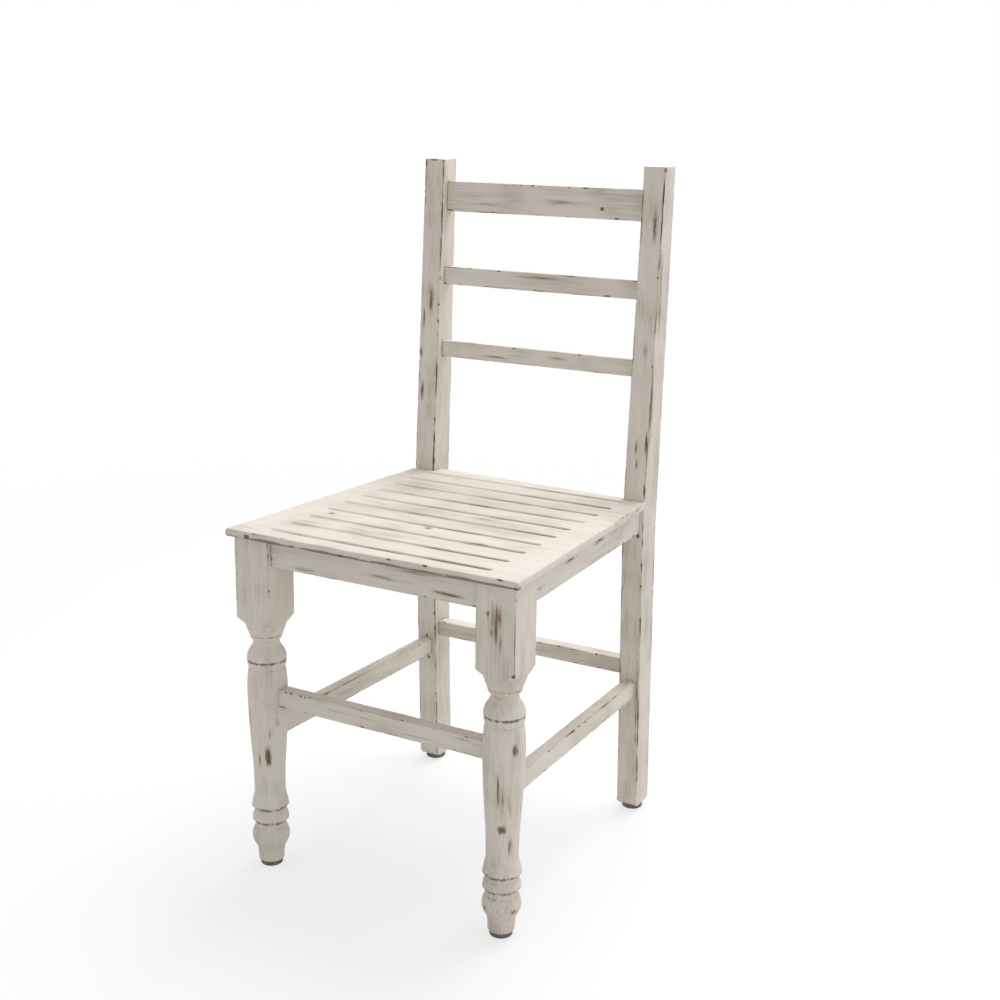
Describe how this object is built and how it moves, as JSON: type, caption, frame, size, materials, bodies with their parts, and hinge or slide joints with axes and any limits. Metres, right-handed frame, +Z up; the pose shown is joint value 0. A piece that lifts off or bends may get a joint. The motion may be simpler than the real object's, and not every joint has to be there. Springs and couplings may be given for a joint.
{
  "type": "side chair",
  "caption": "Wooden side chair with turned front legs, raked square back posts, horizontal slats and a fluted seat board, in worn and peeling white paint.",
  "frame": {"origin": "on the floor under the middle of the chair's bounding box", "axes": "+Z up, the chair faces -Y, +X is to the right as seen from the front"},
  "size_m": [0.404, 0.444, 0.877],
  "materials": {
    "painted_wood": "matt white paint brushed thin over brown wood, worn through at arrises, streaks and turned grooves",
    "bare_wood": "unpainted sawn wood",
    "glide_plastic": "scuffed dark plastic",
    "screw_steel": "dull zinc plated"
  },
  "bodies": {
    "root": {"front_leg_left": "painted_wood", "front_leg_right": "painted_wood", "back_post_left": "painted_wood", "back_post_right": "painted_wood", "top_slat": "painted_wood", "middle_slat": "painted_wood", "lower_slat": "painted_wood", "seat_board": "painted_wood", "front_apron": "painted_wood", "rear_apron": "painted_wood", "left_apron": "painted_wood", "right_apron": "painted_wood", "front_stretcher": "painted_wood", "rear_stretcher": "painted_wood", "left_stretcher": "painted_wood", "right_stretcher": "painted_wood", "corner_block_front_left": "bare_wood", "corner_block_front_right": "bare_wood", "corner_block_rear_left": "bare_wood", "corner_block_rear_right": "bare_wood", "seat_screw_front_left": "screw_steel", "seat_screw_front_right": "screw_steel", "seat_screw_rear_left": "screw_steel", "seat_screw_rear_right": "screw_steel", "front_left_glide": "glide_plastic", "front_right_glide": "glide_plastic", "rear_left_glide": "glide_plastic", "rear_right_glide": "glide_plastic", "front_left_nail": "screw_steel", "front_right_nail": "screw_steel", "rear_left_nail": "screw_steel", "rear_right_nail": "screw_steel"}
  },
  "joints": []
}
